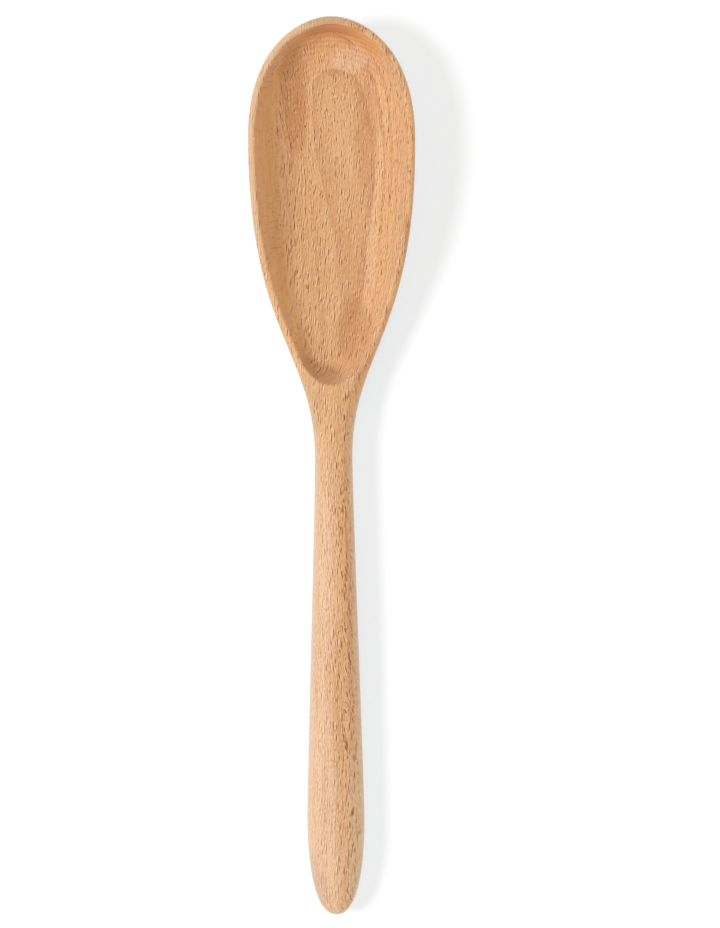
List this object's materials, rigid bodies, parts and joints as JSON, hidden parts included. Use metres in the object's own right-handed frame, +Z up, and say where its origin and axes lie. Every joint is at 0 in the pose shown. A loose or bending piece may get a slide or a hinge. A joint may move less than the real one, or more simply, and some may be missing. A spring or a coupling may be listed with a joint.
{
  "type": "deep spoon",
  "caption": "Wooden kitchen spoon with a deep oval bowl, a thin rounded rim, a slim neck and a handle that swells towards its rounded end.",
  "frame": {"origin": "on the table under the middle of the spoon, with the spoon lying on its bowl's foot and its grip", "axes": "+Y along the spoon to the bowl's tip, +X to the right seen from above, +Z up out of the hollow"},
  "size_m": [0.0566, 0.305, 0.0237],
  "materials": {
    "beech": "oiled, sanded smooth"
  },
  "bodies": {
    "root": {"spoon": "beech"}
  },
  "joints": []
}
